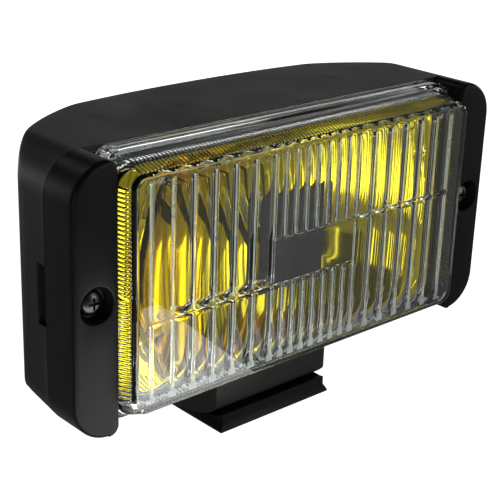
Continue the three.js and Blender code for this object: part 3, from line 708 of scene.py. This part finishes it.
def seam_height(x, z):
    """A low moulded step along the two seams."""
    total = 0.0
    seams = ((UPPER_SEAM, LEFT_EDGE + 3.0, SIDE_MARGIN - 2), (LOWER_SEAM, -SIDE_MARGIN + 2, RIGHT_EDGE))
    for level, x0, x1 in seams:
        if x0 < x < x1:
            ends = smooth((x - x0) / 1.5) * smooth((x1 - x) / 1.5)
            total += SEAM_STEP * math.exp(-((z - level) / SEAM_SPREAD) ** 2) * ends
    return total


def grid_columns():
    """Places across the face: close over each bar, wider in the flutes."""
    xs = {-SIDE_MARGIN, SIDE_MARGIN, -SIDE_MARGIN + 1.2, SIDE_MARGIN - 1.2}
    for bar in BARS:
        for k in range(-8, 9):
            xs.add(round(bar + RIDGE * math.sin(math.pi / 2 * k / 8), 4))
    for a, b in zip(BARS, BARS[1:]):
        n = 9 if b - a > 6 else 6
        for i in range(1, n):
            xs.add(round(a + RIDGE + (b - a - 2 * RIDGE) * i / n, 4))
    return sorted(xs)


def grid_rows():
    """Heights over the face: close at the seams and the flutes' ends."""
    zs = set()
    z = FLUTE_BOTTOM
    while z < FLUTE_TOP:
        zs.add(round(z, 4))
        close = min(abs(z - UPPER_SEAM), abs(z - LOWER_SEAM), abs(z - FLUTE_TOP) * 0.6)
        z += 0.14 if close < 0.9 else (0.35 if close < 4 or z < -24 else 1.2)
    zs.add(FLUTE_TOP)
    return sorted(zs)


def lens(name):
    """Glass with a stepped rim, a ribbed skirt and a fluted face."""
    base = rounded(LENS_HALF_WIDTH - FACE_INSET, LENS_HALF_HEIGHT - FACE_INSET, FACE_CORNER,
                   corner=30, spacing=RIB_PITCH / 6)

    def outline(y, inset):
        """The face's outline grown along its normals; the skirt slopes further down than up."""
        grow = FACE_INSET - inset
        lowered = min(1, max(0, (y + 4.5) / 12)) * (BOTTOM + LENS_HALF_HEIGHT)
        return [(x + nx * grow, z + nz * grow + (lowered if z < 0 else 0)) for x, z, nx, nz in base]

    face_edge = [(0, 6.35), (0.03, 6.1), (0.14, 5.82), (0.34, 5.56), (0.62, 5.36), (0.95, 5.2)]
    outer_profile = [(LENS_FACE + y, inset) for y, inset in face_edge]
    outer_profile += [
        (-2.0, 4.5), (1.0, 3.53), (4.2, 2.5), (4.7, 2.3), (5.2, 2.02), (6.3, 1.62), (6.9, 1.4),  # skirt
        (7.2, 1.1), (7.5, 0.6), (7.85, 0.28), (8.3, 0.16), (10.0, 0.05), (11.8, 0.0), (12.1, 0.12),  # band
        (12.25, 0.5), (12.45, 0.85), (12.95, 0.85), (13.1, 0.5), (13.25, 0.12), (13.5, 0.0),  # groove
        (14.5, 0.0), (14.72, 0.1), (14.8, 0.35),
    ]
    inner_profile = [(14.8, 5.7), (9.0, 5.6), (7.0, 5.1), (4.0, 4.7), (1.5, 5.0), (-0.4, 5.5),
                     (-1.0, 5.75), (-1.4, 5.95), (LAND, 6.3)]
    rings = [[(x, y, z) for x, z in outline(y, inset)] for y, inset in outer_profile]
    travelled = [0.0]
    for (x0, z0, *_), (x1, z1, *_) in zip(base, base[1:]):
        travelled.append(travelled[-1] + math.hypot(x1 - x0, z1 - z0))
    total = travelled[-1] + math.hypot(base[0][0] - base[-1][0], base[0][1] - base[-1][1])
    ribs = round(total / RIB_PITCH)
    for y, inset in inner_profile:
        ring = []
        amount = smooth((RIB_START - y) / 1.5) * smooth((y - RIB_END + 0.8) / 0.6)
        for (x, z), (_, _, nx, nz), along in zip(outline(y, inset), base, travelled):
            straight = 1 - min(1, abs(nx * nz) * 4)  # no ribs round the corners
            wave = abs(math.cos(math.pi * ribs * along / total))
            d = RIB_DEPTH * amount * wave * straight
            ring.append((x - nx * d, y, z - nz * d))
        rings.append(ring)
    verts, faces = skin(rings, front=True, back=False)
    start = len(verts)
    xs, zs = grid_columns(), grid_rows()
    for z in zs:
        for x in xs:
            edge = z in (zs[0], zs[-1]) or x in (xs[0], xs[-1])
            h = 0.0 if edge else face_height(x, z) + seam_height(x, z)
            verts.append((x, LAND + h, z))
    faces += sheet_faces(len(zs), len(xs), start)
    obj = new_mesh(name, verts, faces)
    fill_openings(obj)
    tidy(obj, 40, 0.0005)
    return obj


# ---- Reflector ------------------------------------------------------------------
VERTEX, FOCAL = 43.0, 30.0
MOUTH_W, MOUTH_H, MOUTH_R = 72.2, 36.2, 7.0


def mouth_reach(angle, half_width, half_height, radius):
    """Distance from the middle to a rounded rectangle along an angle."""
    lo, hi = 0.0, 200.0
    c, s = math.cos(angle), math.sin(angle)
    for _ in range(40):
        mid = (lo + hi) / 2
        qx = abs(mid * c) - half_width + radius
        qz = abs(mid * s) - half_height + radius
        d = math.hypot(max(qx, 0), max(qz, 0)) + min(max(qx, qz), 0) - radius
        lo, hi = (mid, hi) if d < 0 else (lo, mid)
    return lo


def reflector(name):
    """Parabolic bowl cut to a rectangle, its side walls, its rim and the sheet's thickness."""
    count = 288
    angles = [2 * math.pi * i / count for i in range(count)]
    hole, thick, front = 6.6, 1.2, 8.0
    bowl_steps, wall_steps = 26, 8

    def bowl(r, back=0.0):
        return max(front + back, VERTEX + back - r * r / (4 * FOCAL))

    def ring(distance, back=0.0, grow=0.0):
        made = []
        for a in angles:
            r = distance(mouth_reach(a, MOUTH_W + grow, MOUTH_H + grow, MOUTH_R + grow))
            made.append((r * math.cos(a), bowl(r, back), r * math.sin(a)))
        return made

    def outward(t):
        return lambda reach: hole + (reach - hole) * t

    def whole(reach):
        return reach

    rings = [ring(outward(k / bowl_steps)) for k in range(bowl_steps + 1)]
    edge = rings[-1]
    for k in range(1, wall_steps + 1):
        rings.append([(x, y + (front - y) * k / wall_steps, z) for x, y, z in edge])
    rings.append([(x, front, z) for x, y, z in ring(whole, 0.0, thick)])
    outer_edge = ring(whole, thick, thick)
    rings += [[(x, front + (y - front) * t, z) for x, y, z in outer_edge] for t in (0.3, 0.6, 1.0)]
    rings += [ring(outward(k / bowl_steps), thick, thick) for k in range(bowl_steps - 1, -1, -1)]
    verts, faces = skin(rings, front=False, back=False)
    last = (len(rings) - 1) * count
    for i in range(count):
        j = (i + 1) % count
        faces.append((last + i, i, j, last + j))
    bowl_obj = new_mesh(name + "_bowl", verts, faces)
    inner = rounded(MOUTH_W + 0.6, MOUTH_H + 0.6, MOUTH_R, corner=12)
    outer = rounded(77.0, 40.4, 9.0, corner=12)
    rim_rings = []
    for points, y in ((inner, 16.9), (outer, 16.9), (outer, 17.9), (inner, 17.9)):
        rim_rings.append([(p[0], y, p[1]) for p in points])
    rim_rings.append(rim_rings[0])
    rim = new_mesh(name + "_rim", *skin(rim_rings, front=False, back=False))
    return tidy(joined(name, [bowl_obj, rim]), 40)


def bulb_shield(name):
    """Sheet metal plate with rounded edges and two legs."""
    half, front = 17.0, 9.5
    rings = []
    edge = [(0.45, 0), (0.2, 0.08), (0.05, 0.25), (0, 0.45), (0, 0.6), (0.1, 0.85), (0.35, 1.0)]
    for inset, y in edge:
        rings.append([(x - nx * inset, front + y, z - nz * inset)
                      for x, z, nx, nz in rounded(half, half, 3.0, corner=8)])
    plate = new_mesh("plate", *skin(rings))
    parts = [plate]
    for side in (-1, 1):
        x = side * 11.5
        leg = block("leg", (x - 0.5, front + 0.6, -2.5), (x + 0.5, VERTEX - 1.8, 2.5))
        tab = block("tab", (x - 3, front + 0.9, -2.5), (x + 3, front + 1.6, 2.5))
        pin = block("pin", (x - 0.8, VERTEX - 2.8, -0.8), (x + 0.8, VERTEX - 0.4, 0.8))
        parts += [bevel(leg, 0.15, 2), bevel(tab, 0.15, 2), bevel(pin, 0.15, 2)]
    return tidy(joined(name, parts), 35)


def bulb_envelope(name):
    """The glass of the bulb."""
    tip = 18.0
    outside = [(0.01, tip), (0.9, tip + 0.05), (1.8, tip + 0.28), (2.7, tip + 0.72), (3.6, tip + 1.4),
               (4.4, tip + 2.3), (5.0, tip + 3.4), (5.3, tip + 4.4), (5.4, tip + 5.4), (5.4, 43.9)]
    inside = [(4.7, 43.9), (4.7, tip + 5.4), (4.5, tip + 4.4), (4.1, tip + 3.5), (3.4, tip + 2.5),
              (2.6, tip + 1.75), (1.7, tip + 1.2), (0.8, tip + 0.95), (0.01, tip + 0.9)]
    return tidy(lathe(name, outside + inside, 0, 0, 48), 50)


# ---- Foot -----------------------------------------------------------------------
BOLT_RADIUS = 4.3    # of the hole for the vehicle's bolt


def saddle_foot(name):
    """Foot with a round seat, sloping shoulders and softened edges."""
    origin = Vector((0, 0, 0))
    half_depth, half_width = FOOT_HI.y / MM, FOOT_HI.x / MM
    seat, saddle, edge_y, edge_z = 22.3, 10.2, 17.5, 6.3
    reach = math.degrees(math.asin(saddle / seat))
    side = [(half_depth, 0), (half_depth - 0.3, 1.0), (edge_y, 3.0), (edge_y, edge_z)]
    seat_arc = arc(0, 24, seat, -90 + reach, -90 - reach, 30)
    profile = side + seat_arc + [(-y, z) for y, z in reversed(side)]

    def width(z):
        if z <= 1:
            return half_width - 0.3 * z
        return half_width - 0.3 - 1.2 * min(1, (z - 1) / 2)

    rings = [[(s * width(z), y, z) for y, z in profile] for s in (-1, 1)]
    verts, faces = skin(rings, front=False, back=False)
    count = len(profile)
    last = count - 1
    for start, flip in ((0, False), (count, True)):  # ends, in level bands
        bands = [(0, 1, last - 1, last), (1, 2, last - 2, last - 1), tuple(range(2, last - 1))]
        for band in bands:
            loop = [start + i for i in band]
            faces.append(tuple(loop) if flip else tuple(reversed(loop)))
    obj = new_mesh(name, verts, faces, origin)
    bevel(obj, 0.45, 3, 30)
    tube_wall = [(5.5, 1.2), (5.5, 6.8), (5.2, 7.1), (BOLT_RADIUS, 7.1), (BOLT_RADIUS, 1.2)]
    spigot = lathe("spigot", tube_wall, 0, 0, 48, "z", origin)
    hole = lathe("hole", [(BOLT_RADIUS, -1), (BOLT_RADIUS, 9)], 0, 0, 48, "z", origin)
    tidy(obj, 30)
    boolean(obj, tidy(hole, 30))
    tube = bmesh.new()
    tube.from_mesh(spigot.data)
    bmesh.ops.delete(tube, geom=[f for f in tube.faces if len(f.verts) > 4], context="FACES")
    tube.to_mesh(spigot.data)
    tube.free()
    return tidy(joined(name, [obj, spigot]), 30)


def rubber_plug(name, profile, x, z):
    """A turned rubber part in the back of the housing."""
    return tidy(lathe(name, profile, x, z, 48), 40)


# ---- Camera, floor and light ------------------------------------------------------
CAMERA_AT = (-0.28266, -0.30934, 0.21896)
CAMERA_YAW, CAMERA_PITCH, CAMERA_ROLL = -42.501, 21.143, 1.993
CAMERA_LENS, SENSOR_WIDTH, LENS_SHIFT = 90.97, 36, 0.0026
FLOOR_HALF = 4000.0
SEEN_GLOW, BOUNCED_GLOW = 1.0, 0.12    # emission of the floor
DIM_SKY, BRIGHT_SKY = 0.04, 1.0        # strengths of the world


def camera():
    """The camera fitted to the photo's straight edges."""
    data = bpy.data.cameras.new("camera")
    data.lens = CAMERA_LENS
    data.sensor_width = SENSOR_WIDTH
    data.shift_x = LENS_SHIFT
    data.clip_start, data.clip_end = 0.01, 20
    cam = bpy.data.objects.new("camera", data)
    bpy.context.scene.collection.objects.link(cam)
    yaw, pitch, roll = (math.radians(a) for a in (CAMERA_YAW, CAMERA_PITCH, CAMERA_ROLL))
    back = Vector((math.sin(yaw) * math.cos(pitch), -math.cos(yaw) * math.cos(pitch), math.sin(pitch)))
    right = Vector((math.cos(yaw), math.sin(yaw), 0))
    up = back.cross(right)
    turned_right = math.cos(roll) * right + math.sin(roll) * up
    turned_up = -math.sin(roll) * right + math.cos(roll) * up
    turn = Matrix((turned_right, turned_up, back)).transposed()
    cam.matrix_world = Matrix.Translation(Vector(CAMERA_AT)) @ turn.to_4x4()
    bpy.context.scene.camera = cam


def area(name, location, target, size, power):
    """A rectangular light, hidden from the camera."""
    data = bpy.data.lights.new(name, "AREA")
    data.shape = "RECTANGLE"
    data.size, data.size_y = size
    data.energy = power
    obj = bpy.data.objects.new(name, data)
    bpy.context.scene.collection.objects.link(obj)
    obj.location = location
    obj.rotation_euler = (Vector(target) - Vector(location)).to_track_quat("-Z", "Y").to_euler()
    obj.visible_camera = False


def seen_or_bounced(tree, seen, bounced):
    """One shader for the camera and another for reflections and refractions."""
    path = tree.nodes.new("ShaderNodeLightPath")
    mixed = tree.nodes.new("ShaderNodeMixShader")
    tree.links.new(path.outputs["Is Camera Ray"], mixed.inputs["Fac"])
    tree.links.new(bounced, mixed.inputs[1])
    tree.links.new(seen, mixed.inputs[2])
    return mixed.outputs["Shader"]


def floor_sheet():
    """White paper to the camera, dim in reflections."""
    half = FLOOR_HALF
    corners = [(-half, -half, 0), (half, -half, 0), (half, half, 0), (-half, half, 0)]
    floor = new_mesh("floor", corners, [(0, 1, 2, 3)], Vector((0, 0, -0.0002)))
    n = Nodes("floor_paper")
    matt = {"roughness": 0.8, "Specular_IOR_Level": 0.1, "Emission_Color": (1, 1, 1, 1)}
    tone = n.ramp(n.noise(3, 3), [(0.3, 0.90), (0.7, 0.93)])
    seen = n.shader(tone, Emission_Strength=SEEN_GLOW, **matt)
    bounced = n.shader((0.4, 0.4, 0.4), Emission_Strength=BOUNCED_GLOW, **matt)
    floor.data.materials.append(n.done(seen_or_bounced(n.tree, seen, bounced)))


def stage():
    """Floor, world and soft lights of a small white studio."""
    floor_sheet()
    world = bpy.data.worlds.new("world")
    world.use_nodes = True
    tree = world.node_tree
    dim = tree.nodes["Background"]
    bright = tree.nodes.new("ShaderNodeBackground")
    for node, color, strength in ((dim, (0.9, 0.95, 1.0, 1), DIM_SKY), (bright, (1, 1, 1, 1), BRIGHT_SKY)):
        node.inputs["Color"].default_value = color
        node.inputs["Strength"].default_value = strength
    surface = seen_or_bounced(tree, bright.outputs[0], dim.outputs[0])
    tree.links.new(surface, tree.nodes["World Output"].inputs["Surface"])
    bpy.context.scene.world = world
    middle = (0, 0, 0.06)
    area("floor_panel", (-0.08, -0.09, 0.003), (-0.08, -0.09, 1), (0.17, 0.1), 0.15)
    area("right_low", (0.59, -1.02, 0.18), middle, (0.45, 0.45), 1.9)
    area("side_low", (1.03, -0.60, 0.18), middle, (0.45, 0.45), 0.5)
    area("left_side", (-1.03, -0.6, 0.18), middle, (0.4, 0.4), 1.1)
    area("right_high", (0.52, -0.9, 0.62), middle, (0.45, 0.45), 0.95)
    area("back", (0.75, 0.85, 0.47), middle, (0.8, 0.25), 0.6)
    area("back_low", (-0.1, 1.15, 0.12), middle, (1.0, 0.22), 7.0)
    area("side_back", (1.15, 0.3, 0.14), middle, (0.6, 0.22), 3.0)
    area("back_high", (-0.22, 0.83, 0.92), middle, (0.35, 0.3), 0.55)
    bpy.context.scene.view_settings.view_transform = "Standard"


# ---- Build ------------------------------------------------------------------------
housing_black = moulded("housing_plastic", (0.011, 0.011, 0.0104), (0.016, 0.016, 0.015),
                        rough=0.5, grain=2600, grain_depth=0.00005, specular=0.2)
cap_black = moulded("cap_plastic", (0.004, 0.004, 0.0048), (0.0065, 0.0065, 0.0074),
                    rough=0.34, grain=3200, grain_depth=0.00003, specular=0.12)
screw_black = metal("black_steel", (0.05, 0.05, 0.052), (0.085, 0.085, 0.088), 0.2)
zinc = metal("zinc_plate", (0.5, 0.5, 0.48), (0.66, 0.65, 0.6), 0.34)
brass = metal("brass", (0.6, 0.42, 0.14), (0.75, 0.56, 0.22), 0.32)
tungsten = metal("tungsten", (0.25, 0.24, 0.23), (0.4, 0.39, 0.37), 0.35)
spring = metal("spring_wire", (0.45, 0.45, 0.45), (0.6, 0.6, 0.6), 0.25)
shield_paint = metal("shield_paint", (0.014, 0.014, 0.015), (0.022, 0.022, 0.023), 0.45, metallic=0.2)
rubber = rubbery("rubber", (0.012, 0.012, 0.012))
lead_black = rubbery("lead_insulation", (0.016, 0.016, 0.016), 0.5)
nylon = rubbery("nylon", (0.5, 0.47, 0.4), 0.5)
glass = clear_glass("lens_glass", (0.94, 0.975, 0.96), 0.00012, 55)
frosted = clear_glass("frosted_glass", (0.80, 0.86, 0.86), 0.0002, 900,
                      rough=(0.25, 0.42), transmission=0.66, tint=(0.75, 0.78, 0.78))
bulb_glass = clear_glass("bulb_glass", (0.97, 0.98, 0.97), 0.00003, 80)
mirror = lacquered_mirror("yellow_mirror")

camera()
stage()

shell = rear_housing()
tidy(shell, 35)
for side in (-1, 1):
    at = side * HALF_WIDTH
    notch = block("notch", (at - NOTCH_DEPTH, BODY_START - 1, -10), (at + NOTCH_DEPTH, 19.3, 10))
    boolean(shell, notch)
housing = tidy(joined("housing", [shell, boss()]), 30)
place(housing, "lamp", housing_black, ["rear_housing"])

for label, side in (("left", -1), ("right", 1)):
    place(end_cap("cap_" + label, side), "lamp", cap_black, ["end_cap_" + label])
    place(cap_screw("screw_" + label, side), "lamp", screw_black, ["cap_screw_" + label])

pane = place(lens("lens_glass"), "lamp", glass, ["lens"])
pane.data.materials.append(frosted)
for face in pane.data.polygons:
    at = (face.center - LAMP) / MM
    turned_in = face.normal.y > 0.02 and at.y < 0
    patterned = abs(at.x) < SIDE_MARGIN and abs(at.z) < FLUTE_TOP
    if turned_in and patterned and is_frosted(at.x, at.z):
        face.material_index = 1
place(reflector("reflector_bowl"), "lamp", mirror, ["reflector"])
place(bulb_shield("shield"), "lamp", shield_paint, ["bulb_shield"])
place(bulb_envelope("envelope"), "lamp", bulb_glass, ["bulb_envelope"])
place(saddle_foot("foot_saddle"), "foot", cap_black, ["saddle_foot"])
grommet = [(1.9, 57.2), (7.6, 57.2), (8.0, 57.5), (8.0, 58.5), (7.7, 58.8),
           (5.9, 58.8), (5.9, 62.0), (7.7, 62.0), (8.0, 62.2), (7.9, 62.7),
           (7.4, 63.1), (6.9, 63.2), (3.2, 63.2), (2.4, 62.9), (1.9, 62.3)]
place(rubber_plug("grommet", grommet, 0, -22), "lamp", rubber, ["cable_grommet"])
breather = [(0.01, 57.3), (2.7, 57.3), (2.7, 61.4), (4.2, 61.4), (4.4, 61.6), (4.3, 62.1), (3.9, 62.6),
            (2.9, 62.9), (1.4, 63.0), (0.01, 63.0)]
place(rubber_plug("breather", breather, 30, -22), "lamp", rubber, ["breather_plug"])

CARRIED = {  # CAD nodes kept as they are, with a material
    "lens_gasket": rubber,
    "shield_rivet_left": zinc,
    "shield_rivet_right": zinc,
    "bulb_filament": tungsten,
    "bulb_base": zinc,
    "bulb_clip": spring,
    "clip_bracket": zinc,
    "clip_catch": zinc,
    "bulb_lead": lead_black,
    "earth_lead": lead_black,
    "earth_tab": brass,
    "terminal_block": nylon,
    "feed_blade": brass,
    "earth_blade": brass,
    "clamp_saddle": zinc,
    "clamp_nut": zinc,
}
for node, material in CARRIED.items():
    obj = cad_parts[node]
    obj.data.materials.clear()
    obj.data.materials.append(material)
